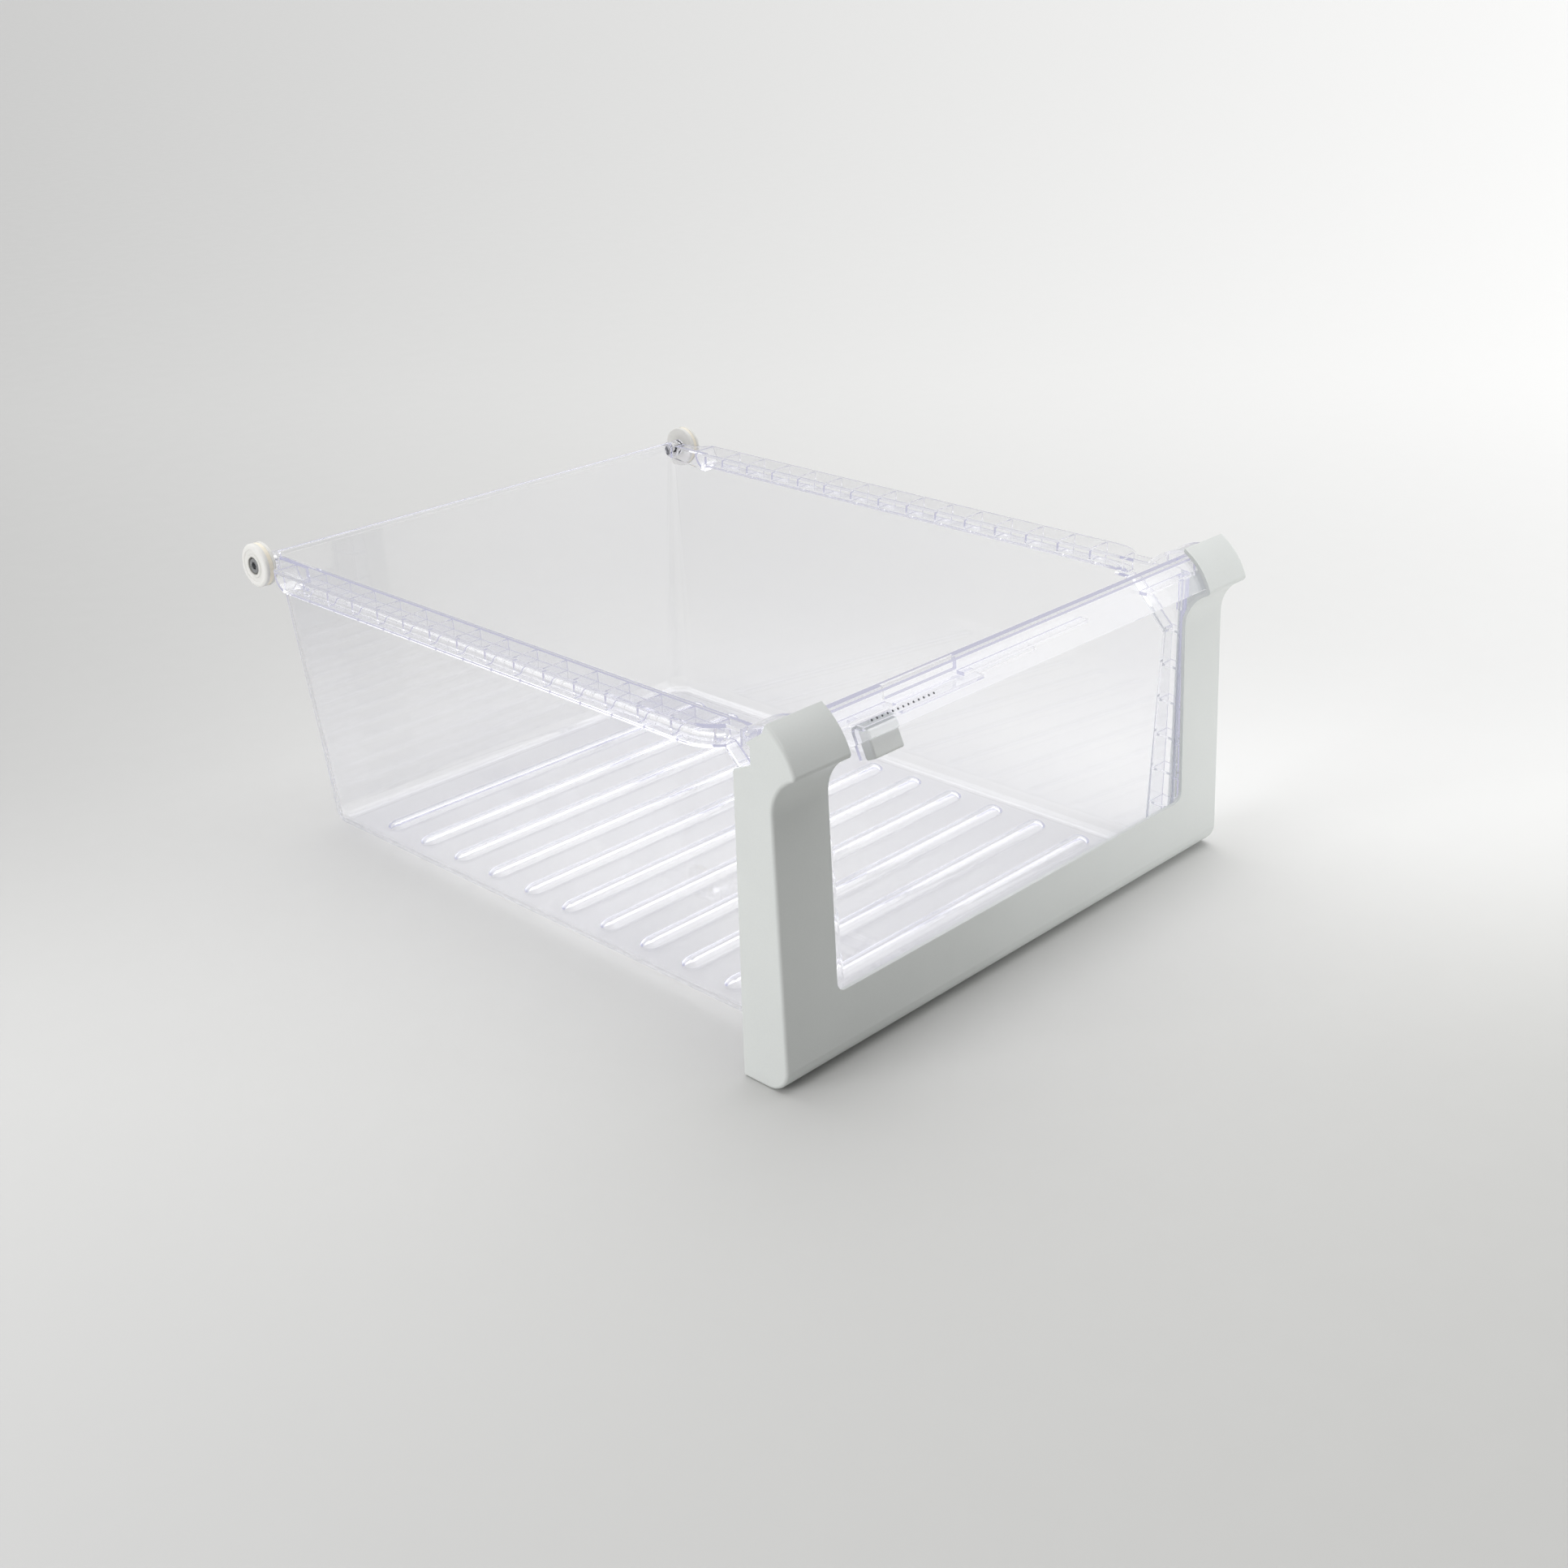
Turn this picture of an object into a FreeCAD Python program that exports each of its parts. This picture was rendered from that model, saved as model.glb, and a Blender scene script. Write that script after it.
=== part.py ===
import FreeCAD, Part
import math
import os

# Fridge crisper drawer in millimetres: X to the right, Y to the back, Z up.
# While it is modelled, Y = 0 is where the frame's front face would meet the floor.
# At the end everything moves along Y, so that the origin is the middle of the base.

# Front frame
frame_width = 390.0
pillar_width = 39.5
frame_wall = 2.2
frame_edge_radius = 2.0
lean_deg = 2.8
bottom_radius = 14.0
scoop_drop = 29.3
scoop_radius = 23.5
scoop_turn_deg = 68.0
nose_radius = 2.6
nose_turn_deg = 87.0
brow_radius = 44.0
brow_turn_deg = 38.0
ear_back_depth = 1.4
ear_back_drop = 4.4
barb_depth = 13.1
barb_drop = 12.8
notch_depth = 10.0
notch_top_drop = 14.4
notch_height = 9.8
shoulder_depth = 11.8
shoulder_drop = 4.6
shoulder_radius = 2.5
cheek_depth = 31.5
window_sill_z = 43.2
window_corner_radius = 6.0
snap_height = 14.0
snap_levels = (60.0, 130.0)
snap_reach = 2.6
snap_depth = 3.0

# Bin
bin_wall = 2.4
frame_gap = 0.4
rim_z = 183.3
side_inset = 35.6
side_draft = 0.0525
rear_bottom_y = 450.5
rear_draft = 0.0485
rear_corner_top_radius = 4.0
rear_corner_growth = 4.0
rear_bead_depth = 3.0
rear_bead_height = 3.4
rear_bead_rise = 2.5
rear_bead_radius = 1.0

# Floor ridges
ridge_count = 11
ridge_first_y = 62.5
ridge_rear_margin = 44.0
ridge_end_margin = 25.4
ridge_radius = 8.0
ridge_rise = 3.4

# Side rails
rail_inset = 8.6
rail_height = 12.7
rail_flange = 2.2
rail_runner = 1.8
runner_lip_width = 5.5
runner_step_width = 4.2
runner_step = 3.0
rail_rear_gap = 24.7
rail_end_radius = 11.0
rail_front_y = 57.0
rail_front_inset = 19.5
rail_bend_length = 22.0
rail_toe_length = 10.0
rail_rib_count = 15
rail_rib_first_y = 61.0
rail_rib_rear_margin = 29.8
rail_rib_wall = 1.5
rail_rib_set_back = 1.2

# Front channels beside the window
channel_lip_gap = 2.3
channel_rear_y = 29.0
channel_foot_z = 14.0
channel_rib_count = 6
channel_rib_first_z = 32.0
channel_rib_pitch = 22.5
channel_rib_wall = 1.5

# Pull lip along the front top edge
lip_wall = 2.4
lip_lower_turn_deg = 2.0
lip_end_gap = 5.8
lip_top_drop = 5.2
ledge_depth = 5.0
ledge_wall = 2.0
ledge_rise = 1.5
ledge_gap_inner_x = 53.6
ledge_gap_outer_x = 110.0
vent_height = 5.8
vent_sill = 0.7
stop_rib_inset = 45.2
stop_rib_wall = 1.6
stop_rib_reach = 2.6
stop_rib_drop = 19.0

# Corner hoods behind the ears
hood_radius = 38.4
hood_wall = 2.0
hood_step_y = 35.6

# Humidity slider
slide_gap = 0.3
knob_inset = 70.4
knob_width = 22.2
knob_lean_deg = 25.8
knob_foot_y = -6.2
knob_foot_drop = 13.9
knob_depth = 6.5
knob_edge_radius = 1.3
knob_back_y = 6.2
shutter_wall = 2.0
shutter_tab_overhang = 2.8
shutter_tab_foot = 1.5
shutter_leaf_offset = 20.0
shutter_leaf_length = 60.5
shutter_arm_width = 5.0
guide_height = 1.6
guide_reach = 2.0
guide_end_gap = 3.5
guide_length = 162.0

# Rollers and their screws
roller_drop = 3.1
roller_rear_offset = -0.06
roller_inset = 10.0
roller_radius = 13.7
roller_width = 8.2
roller_outer_edge = 2.0
roller_inner_edge = 0.8
hub_radius = 5.6
hub_depth = 3.4
roller_dish_inner_radius = 7.2
roller_dish_outer_radius = 10.4
roller_dish_depth = 0.6
band_width = 2.8
band_offset = 3.0
band_depth = 1.6
band_sunk = 0.35
running_gap = 0.05
roller_side_gap = 0.3
screw_shoulder_radius = 3.0
thread_radius = 2.0
thread_length = 7.0
thread_gap = 0.02
head_radius = 5.0
head_height = 2.6
head_edge = 0.6
socket_across_flats = 4.4
socket_depth = 1.6
boss_radius = 5.6
bracket_corner_gap = 15.7
bracket_clearance = 0.3
brace_wall = 2.0

X_AXIS = FreeCAD.Vector(1, 0, 0)
BIG = 1000.0
TINY = 1e-6


def vec(x, y, z):
    return FreeCAD.Vector(x, y, z)


def turned(direction, degrees):
    """A direction in the Y-Z plane turned from Y towards Z."""
    c = math.cos(math.radians(degrees))
    s = math.sin(math.radians(degrees))
    return (direction[0] * c - direction[1] * s, direction[0] * s + direction[1] * c)


def along(start, direction, distance):
    return (start[0] + direction[0] * distance, start[1] + direction[1] * distance)


def on_arc(centre, radius, first, turn):
    """Start, middle and end of an arc that begins in the direction first."""
    steps = (0.0, turn / 2, turn)
    return [along(centre, turned(first, step), radius) for step in steps]


def closed_wire(pieces, place):
    """A loop of points, lines and three-point arcs, joined by lines; place sets a flat point in space."""
    edges = []
    previous = pieces[-1][-1]
    for piece in pieces:
        if math.dist(previous, piece[0]) > TINY:
            edges.append(Part.makeLine(place(previous), place(piece[0])))
        if len(piece) == 2:
            edges.append(Part.makeLine(place(piece[0]), place(piece[1])))
        if len(piece) == 3:
            edges.append(Part.Arc(*[place(point) for point in piece]).toShape())
        previous = piece[-1]
    return Part.Wire(edges)


def side_prism(pieces, x_low, x_high):
    """A side profile in Y and Z, carried along X."""
    face = Part.Face(closed_wire(pieces, lambda p: vec(x_low, p[0], p[1])))
    return face.extrude(vec(x_high - x_low, 0, 0))


def plan_prism(pieces, z_low, z_high):
    """A plan in X and Y, carried along Z."""
    face = Part.Face(closed_wire(pieces, lambda p: vec(p[0], p[1], z_low)))
    return face.extrude(vec(0, 0, z_high - z_low))


def end_prism(pieces, y_low, y_high):
    """A cross-section in X and Z, carried along Y."""
    face = Part.Face(closed_wire(pieces, lambda p: vec(p[0], y_low, p[1])))
    return face.extrude(vec(0, y_high - y_low, 0))


def corners(*points):
    return [[point] for point in points]


def block(x_low, x_high, y_low, y_high, z_low, z_high):
    return Part.makeBox(x_high - x_low, y_high - y_low, z_high - z_low, vec(x_low, y_low, z_low))


def mirrored(shape):
    return shape.mirror(vec(0, 0, 0), X_AXIS)


def both_sides(shape):
    return [shape, mirrored(shape)]


def fused(first, others):
    return first.fuse(others).removeSplitter()


def spread(first, last, count):
    return [first + (last - first) * i / (count - 1) for i in range(count)]


# Places that follow from the sizes
lean_slope = math.tan(math.radians(lean_deg))
side_x = frame_width / 2
window_x = side_x - pillar_width
side_bottom_x = side_x - side_inset
rail_outer_x = side_x - rail_inset
rail_front_x = side_x - rail_front_inset
channel_lip_x = side_x - frame_wall - channel_lip_gap
lip_end_x = side_x - frame_wall - lip_end_gap
lip_recess = frame_wall + frame_gap
wall_outer_y = lip_recess / math.cos(math.radians(lean_deg))
# The bin's underside falls evenly from the frame's bottom to the rear edge.
front_bottom_z = lip_recess
floor_fall = front_bottom_z / (rear_bottom_y - wall_outer_y - lean_slope * front_bottom_z)
runner_z = rim_z - rail_height


def wall_y(z):
    """The bin's front wall, outer face, at a height."""
    return wall_outer_y + lean_slope * z


def wall_x(z):
    """The bin's side wall, outer face, at a height."""
    return side_bottom_x + side_draft * z


def rear_y(z):
    """The bin's rear wall, outer face, at a height."""
    return rear_bottom_y + rear_draft * z


def floor_z(y):
    """The floor's inner face at a place along the bin."""
    return floor_fall * (rear_bottom_y - y) + bin_wall


def front_chain(inset):
    """The frame's front outline from the floor to the ear's top, set in by a distance."""
    up = (math.sin(math.radians(lean_deg)), math.cos(math.radians(lean_deg)))
    out = turned(up, 90)
    foot = (bottom_radius * (1 + up[0]) / up[1], bottom_radius)
    bottom = on_arc(foot, bottom_radius - inset, (0, -1), lean_deg - 90)
    scoop_start_z = rim_z - scoop_drop
    scoop_centre = along((scoop_start_z * lean_slope, scoop_start_z), out, scoop_radius)
    inward = turned(out, 180)
    scoop = on_arc(scoop_centre, scoop_radius + inset, inward, scoop_turn_deg)
    scoop_end = turned(inward, scoop_turn_deg)
    nose_centre = along(scoop_centre, scoop_end, scoop_radius + nose_radius)
    nose_first = turned(scoop_end, 180)
    nose = on_arc(nose_centre, nose_radius - inset, nose_first, -nose_turn_deg)
    brow_first = turned(nose_first, -nose_turn_deg)
    brow_centre = along(nose_centre, brow_first, nose_radius - brow_radius)
    brow = on_arc(brow_centre, brow_radius - inset, brow_first, -brow_turn_deg)
    return {
        "pieces": [bottom, [bottom[-1], scoop[0]], scoop, nose, brow],
        "nose_centre": nose_centre,
        "brow_centre": brow_centre,
        "brow_first": brow_first,
        "top": brow[-1],
    }


outline = front_chain(0.0)
ear_top = outline["top"]
lip_top_z = ear_top[1] - lip_top_drop
ledge_z = rim_z + ledge_rise
shutter_top_z = ledge_z - slide_gap
shutter_bottom_z = shutter_top_z - shutter_wall
guide_top_z = shutter_bottom_z - slide_gap
guide_low_z = guide_top_z - guide_height
guide_left_x = guide_end_gap - window_x
knob_x = knob_inset - side_x
roller_z = rim_z - roller_drop
roller_y = rear_y(roller_z) - roller_rear_offset
roller_outer_x = side_x - roller_inset
roller_inner_x = roller_outer_x - roller_width
boss_face_x = roller_inner_x - roller_side_gap
groove_outer_x = roller_outer_x - band_offset
groove_inner_x = groove_outer_x - band_width
groove_radius = roller_radius - band_depth
rail_rear_y = roller_y - rail_rear_gap
rail_bend_y = rail_front_y + rail_bend_length
front_tip_y = outline["nose_centre"][0] - nose_radius
back_tip_y = roller_y + roller_radius


def build_frame():
    """The front frame: a bent sheet with cheeks, an open window and an ear at each top corner."""
    notch_top = (ear_top[0] + notch_depth, ear_top[1] - notch_top_drop)
    notch_foot = (notch_top[0], notch_top[1] - notch_height)
    shoulder = (notch_foot[0] + shoulder_depth, notch_foot[1] - shoulder_drop)
    back = corners(
        (ear_top[0] + ear_back_depth, ear_top[1] - ear_back_drop),
        (ear_top[0] + barb_depth, ear_top[1] - barb_drop),
        notch_top,
        notch_foot,
        shoulder,
        (cheek_depth, 0.0),
    )
    solid = side_prism(outline["pieces"] + back, -side_x, side_x)
    front_edges = []
    for edge in solid.Edges:
        box = edge.BoundBox
        at_end = abs(abs(box.Center.x) - side_x) < TINY
        if at_end and box.YMax < ear_top[0] + TINY and box.ZMax > TINY:
            front_edges.append(edge)
    solid = solid.makeFillet(frame_edge_radius, front_edges)
    shoulder_edges = []
    for edge in solid.Edges:
        middle = edge.BoundBox.Center
        if edge.BoundBox.XLength > side_x and math.dist((middle.y, middle.z), shoulder) < TINY:
            shoulder_edges.append(edge)
    solid = solid.makeFillet(shoulder_radius, shoulder_edges)
    inside = front_chain(frame_wall)
    inner_x = side_x - frame_wall
    rear = 2 * cheek_depth
    mouth = corners((rear, inside["top"][1]), (rear, frame_wall))
    solid = solid.cut(side_prism(inside["pieces"] + mouth, -inner_x, inner_x))
    solid = solid.cut(window_tool())
    return fused(solid, [hook for level in snap_levels for hook in both_sides(snap_hook(level))])


def window_tool():
    """The window, open at the top, with rounded lower corners."""
    tool = block(-window_x, window_x, -BIG, BIG, window_sill_z, BIG)
    lower = []
    for edge in tool.Edges:
        box = edge.BoundBox
        if box.YLength > BIG and abs(box.ZMax - window_sill_z) < TINY:
            lower.append(edge)
    return tool.makeFillet(window_corner_radius, lower)


def snap_hook(level):
    """A wedge inside the right cheek that grips behind the bin's front channel."""
    inner_x = side_x - frame_wall
    y_low = wall_y(level + snap_height) + bin_wall + frame_gap
    wedge = corners((inner_x, y_low), (inner_x - snap_reach, y_low), (inner_x, y_low + snap_depth))
    return plan_prism(wedge, level, level + snap_height)


def upright_edges(solid, side, rear):
    """The upright edges at one corner of the bin: side is -1 or 1, rear is True or False."""
    found = []
    for edge in solid.Edges:
        middle = edge.BoundBox.Center
        at_corner = middle.x * side > 0 and (middle.y > rear_bottom_y / 2) == rear
        if at_corner and edge.BoundBox.ZLength > rim_z / 2:
            found.append(edge)
    return found


def tub(inset, top_z, radius):
    """The bin's tapered box, set in from its outer faces; its rear corners widen towards the floor."""
    front_0 = wall_outer_y + inset
    rear_0 = rear_bottom_y - inset
    side_0 = side_bottom_x - inset
    level_0 = floor_fall * rear_bottom_y + inset
    front_z = (level_0 - floor_fall * front_0) / (1 + floor_fall * lean_slope)
    back_z = (level_0 - floor_fall * rear_0) / (1 + floor_fall * rear_draft)
    rings = []
    for z_front, z_back in ((front_z, back_z), (top_z, top_z)):
        y_front = front_0 + lean_slope * z_front
        y_back = rear_0 + rear_draft * z_back
        x_front = side_0 + side_draft * z_front
        x_back = side_0 + side_draft * z_back
        rings.append([
            vec(-x_front, y_front, z_front),
            vec(x_front, y_front, z_front),
            vec(x_back, y_back, z_back),
            vec(-x_back, y_back, z_back),
        ])
    low, high = rings
    loops = [low[::-1], high]
    for i in range(4):
        j = (i + 1) % 4
        loops.append([low[i], low[j], high[j], high[i]])
    faces = [Part.Face(Part.makePolygon(loop + loop[:1])) for loop in loops]
    solid = Part.Solid(Part.Shell(faces))
    front_radius = bottom_radius - inset
    foot_radius = front_radius + rear_corner_growth
    for side in (-1, 1):
        rear = upright_edges(solid, side, True)
        ends = [rear_corner_top_radius - inset, foot_radius]
        if rear[0].firstVertex().Z < rear[0].lastVertex().Z:
            ends.reverse()
        solid = solid.makeFillet(*ends, rear)
        solid = solid.makeFillet(front_radius, upright_edges(solid, side, False))
    floor = min(solid.Faces, key=lambda face: face.BoundBox.ZMax)
    return solid.makeFillet(radius, floor.Edges)


def capsule(y, radius):
    """A round-ended bar across the floor, sunk so that it rises by the ridge's height."""
    half = side_bottom_x - ridge_end_margin
    z = floor_z(y) + ridge_rise - ridge_radius
    bar = Part.makeCylinder(radius, 2 * half, vec(-half, y, z), X_AXIS)
    ends = [Part.makeSphere(radius, vec(x, y, z)) for x in (-half, half)]
    return fused(bar, ends)


def rail_bend_radius():
    inward = rail_outer_x - rail_front_x
    return (inward ** 2 + rail_bend_length ** 2) / (2 * inward)


def rail_edge_x(y):
    """The rail's outer edge, straight and then bending inward on an arc near the front."""
    radius = rail_bend_radius()
    past_bend = max(0.0, rail_bend_y - y)
    return rail_outer_x - radius + math.sqrt(radius ** 2 - past_bend ** 2)


def rail_bend():
    """Start, middle and end of the outer edge's bend, in plan."""
    middle_y = (rail_front_y + rail_bend_y) / 2
    ys = (rail_bend_y, middle_y, rail_front_y)
    return [(rail_edge_x(y), y) for y in ys]


def rail_plate(z_low, z_high):
    """The right rail's plan between two heights."""
    root = wall_x(z_low) - bin_wall / 2
    plan = corners((root, rail_front_y), (root, rail_rear_y), (rail_outer_x, rail_rear_y)) + [rail_bend()]
    return plan_prism(plan, z_low, z_high)


def runner_step_curve(x_start, z_start):
    """The runner's rounded step as two arcs, going inward and up."""
    half_width = runner_step_width / 2
    half_rise = runner_step / 2
    radius = (half_width ** 2 + half_rise ** 2) / (2 * half_rise)
    quarter = math.asin(half_width / radius) / 2
    bulge_x = radius * math.sin(quarter)
    bulge_z = radius * (1 - math.cos(quarter))
    middle = (x_start - half_width, z_start + half_rise)
    end = (x_start - runner_step_width, z_start + runner_step)
    first = [(x_start, z_start), (x_start - bulge_x, z_start + bulge_z), middle]
    second = [middle, (end[0] + bulge_x, end[1] - bulge_z), end]
    return [first, second]


def runner():
    """The right runner: a stepped strip that follows the rail's outer edge."""
    start_y = rail_rear_y - rail_end_radius
    root = wall_x(runner_z) - bin_wall / 2
    lower_x = rail_outer_x - runner_lip_width
    # The upper step stands further out, so that the wall keeps its thickness.
    upper_x = lower_x + rail_runner * runner_step / runner_step_width
    shelf_z = runner_z + runner_step
    upper = runner_step_curve(upper_x, runner_z + rail_runner)
    section = corners((rail_outer_x, runner_z)) + runner_step_curve(lower_x, runner_z)
    section += corners((root, shelf_z), (root, shelf_z + rail_runner))
    section += [piece[::-1] for piece in upper[::-1]] + corners((rail_outer_x, runner_z + rail_runner))
    profile = closed_wire(section, lambda p: vec(p[0], start_y, p[1]))
    bend = [vec(x, y, runner_z) for x, y in rail_bend()]
    straight = Part.makeLine(vec(rail_outer_x, start_y, runner_z), bend[0])
    path = Part.Wire([straight, Part.Arc(*bend).toShape()])
    return path.makePipeShell([profile], True, False)


def rail_end():
    """The right rail's rear end: a web that curves down into the runner."""
    root = wall_x(runner_z) - bin_wall / 2
    centre = (rail_rear_y - rail_end_radius, runner_z + rail_end_radius)
    outer = on_arc(centre, rail_end_radius, (0, -1), 90)
    inner = on_arc(centre, rail_end_radius - rail_runner, (0, -1), 90)
    top = corners((rail_rear_y, rim_z), (rail_rear_y - rail_runner, rim_z))
    return side_prism([outer] + top + [inner[::-1]], root, rail_outer_x)


def rail_rib(y):
    """One rib of the right rail, between the top flange and the stepped runner."""
    slant = math.cos(math.asin(max(0.0, rail_bend_y - y) / rail_bend_radius()))
    edge = rail_edge_x(y)
    low = runner_z + rail_runner / 2
    high = rim_z - rail_flange / 2
    root = wall_x(low) - bin_wall / 2
    outer = edge - rail_rib_set_back
    step_x = max(root, edge - runner_lip_width / slant)
    shelf_x = max(root, edge - (runner_lip_width + runner_step_width) / slant)
    section = corners(
        (root, high),
        (root, low + runner_step),
        (shelf_x, low + runner_step),
        (step_x, low),
        (outer, low),
        (outer, high),
    )
    return end_prism(section, y, y + rail_rib_wall)


def rail():
    """The right rail: a top flange, a runner, ribs between them and the closed rear end."""
    top = rail_plate(rim_z - rail_flange, rim_z)
    toe = rail_plate(runner_z, runner_z + rail_runner)
    toe = toe.common(block(0, side_x, 0, rail_front_y + rail_toe_length, 0, rim_z))
    last_rib_y = rail_rear_y - rail_rib_rear_margin
    ribs = [rail_rib(y) for y in spread(rail_rib_first_y, last_rib_y, rail_rib_count)]
    return fused(top, [runner(), toe, rail_end()] + ribs)


def front_channel():
    """The right front channel: a front flange, a rear flange from the rail's runner, and ribs."""
    root_x = wall_x(0) - bin_wall / 2
    top_z = runner_z + rail_runner
    flange = side_prism(corners(
        (wall_y(channel_foot_z), channel_foot_z),
        (wall_y(channel_foot_z) + bin_wall, channel_foot_z),
        (wall_y(top_z) + bin_wall, top_z),
        (wall_y(top_z), top_z),
    ), root_x, channel_lip_x)
    # The rear flange leaves the runner at 45 degrees before it turns down.
    knee_z = runner_z - (rail_front_y - channel_rear_y)
    rear = side_prism(corners(
        (channel_rear_y, channel_foot_z),
        (channel_rear_y + rail_runner, channel_foot_z),
        (channel_rear_y + rail_runner, knee_z),
        (rail_front_y + rail_runner, runner_z),
        (rail_front_y + rail_runner, top_z),
        (rail_front_y, top_z),
        (channel_rear_y, knee_z + rail_runner),
    ), root_x, rail_front_x)
    ribs = []
    for i in range(channel_rib_count):
        z = channel_rib_first_z + i * channel_rib_pitch
        y_low = wall_y(z) + bin_wall / 2
        rib = block(root_x, rail_front_x, y_low, channel_rear_y + rail_runner / 2, z, z + channel_rib_wall)
        ribs.append(rib)
    return fused(flange, [rear] + ribs)


def lip_y(z, inset):
    """The lip's curve at a height, set in from the frame's brow."""
    centre = outline["brow_centre"]
    return centre[0] - math.sqrt((brow_radius - inset) ** 2 - (z - centre[1]) ** 2)


def lip_arc(inset, top_z):
    """The lip's curve from its lower edge up to a height."""
    first = turned(outline["brow_first"], -lip_lower_turn_deg)
    low = along(outline["brow_centre"], first, brow_radius - inset)
    middle_z = (low[1] + top_z) / 2
    return [low, (lip_y(middle_z, inset), middle_z), (lip_y(top_z, inset), top_z)]


def build_lip():
    """The flat-topped pull lip and the wall behind it, with the ledge, the guide and the stop rib."""
    roof_z = lip_top_z - lip_wall
    outer = lip_arc(lip_recess, lip_top_z)
    inner = lip_arc(lip_recess + lip_wall, roof_z)
    wall = corners(
        (wall_y(lip_top_z) + bin_wall, lip_top_z),
        (wall_y(runner_z) + bin_wall, runner_z),
        (wall_y(runner_z), runner_z),
        (wall_y(roof_z), roof_z),
    )
    lip = side_prism([outer] + wall + [inner[::-1]], -lip_end_x, lip_end_x)
    ledge_root = wall_y(ledge_z) + bin_wall / 2
    ledge_front = wall_y(ledge_z) - ledge_depth
    stretches = (
        (-window_x, -ledge_gap_outer_x),
        (-ledge_gap_inner_x, ledge_gap_inner_x),
        (ledge_gap_outer_x, window_x),
    )
    ledges = []
    for x_low, x_high in stretches:
        ledges.append(block(x_low, x_high, ledge_front, ledge_root, ledge_z, ledge_z + ledge_wall))
    stop_x = side_x - stop_rib_inset
    stop_z = ledge_z - stop_rib_drop
    stop = block(stop_x, stop_x + stop_rib_wall, wall_y(stop_z) - stop_rib_reach,
                 wall_y(stop_z) + bin_wall / 2, stop_z, ledge_z + ledge_wall / 2)
    return fused(lip, ledges + [slide_guide(), stop])


def slide_guide():
    """A rib on the front wall that carries the slide."""
    right = guide_left_x + guide_length
    root = wall_y(guide_low_z)
    return block(guide_left_x, right, root - guide_reach, root + bin_wall / 2, guide_low_z, guide_top_z)


def hood_body(wall, front_wall):
    """The right hood's rounded body, set in by its walls, from the lip's top down to the rail."""
    low_z = rim_z - rail_flange
    radius = hood_radius - wall
    crown_y = wall_y(lip_top_z) + bin_wall
    centre_z = lip_top_z - hood_radius
    roof = [(crown_y, centre_z + radius)]
    for z in ((lip_top_z - wall + low_z) / 2, low_z):
        roof.append((crown_y + math.sqrt(radius ** 2 - (z - centre_z) ** 2), z))
    front_low = (wall_y(low_z) + front_wall, low_z)
    front_top = (wall_y(lip_top_z - wall) + front_wall, lip_top_z - wall)
    inner_x = wall_x(rim_z) - bin_wall + wall
    body = side_prism([roof] + corners(front_low, front_top), inner_x, lip_end_x - wall)
    return body.cut(block(rail_front_x - wall, side_x, hood_step_y - wall, BIG, 0, BIG))


def corner_hood():
    """The right corner hood, hollow from below, and the rail's flange on to it."""
    low_z = rim_z - rail_flange
    root = wall_x(low_z) - bin_wall / 2
    bridge = block(root, rail_front_x, hood_step_y, rail_front_y + rail_flange, low_z, rim_z)
    hollow = hood_body(hood_wall, bin_wall)
    return fused(hood_body(0.0, 0.0), [bridge]).cut(hollow)


def roller_boss():
    """The right roller's boss, with the rail's flange and a brace carried on to it past the wheel."""
    root = wall_x(roller_z) - bin_wall
    boss = Part.makeCylinder(boss_radius, boss_face_x - root, vec(root, roller_y, roller_z), X_AXIS)
    clear_x = roller_inner_x - bracket_clearance
    corner_y = roller_y - bracket_corner_gap
    bracket = plan_prism(corners(
        (root, rail_rear_y - rail_flange),
        (rail_outer_x - rail_rib_set_back, rail_rear_y - rail_flange),
        (rail_outer_x - rail_rib_set_back, rail_rear_y),
        (clear_x, corner_y),
        (clear_x, roller_y),
        (root, roller_y),
    ), rim_z - rail_flange, rim_z)
    brace = side_prism(corners(
        (rail_rear_y - rail_end_radius, runner_z),
        (roller_y, roller_z - boss_radius),
        (roller_y, rim_z),
        (rail_rear_y - rail_end_radius, rim_z),
    ), root, root + bin_wall + brace_wall)
    return fused(boss, [bracket, brace])


def roller_hole():
    depth = thread_length + thread_gap
    start = vec(boss_face_x - depth, roller_y, roller_z)
    return Part.makeCylinder(thread_radius + thread_gap, depth, start, X_AXIS)


def rear_bead():
    """The thickened top edge of the rear wall, between the rollers' bosses."""
    half = wall_x(rim_z) - bin_wall / 2
    y_low = rear_y(rim_z) - bin_wall
    z_low = rim_z + rear_bead_rise - rear_bead_height
    bead = block(-half, half, y_low, y_low + rear_bead_depth, z_low, rim_z + rear_bead_rise)
    upper = []
    for edge in bead.Edges:
        if edge.BoundBox.ZMin > z_low + TINY and edge.BoundBox.XLength > half:
            upper.append(edge)
    return bead.makeFillet(rear_bead_radius, upper)


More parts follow.
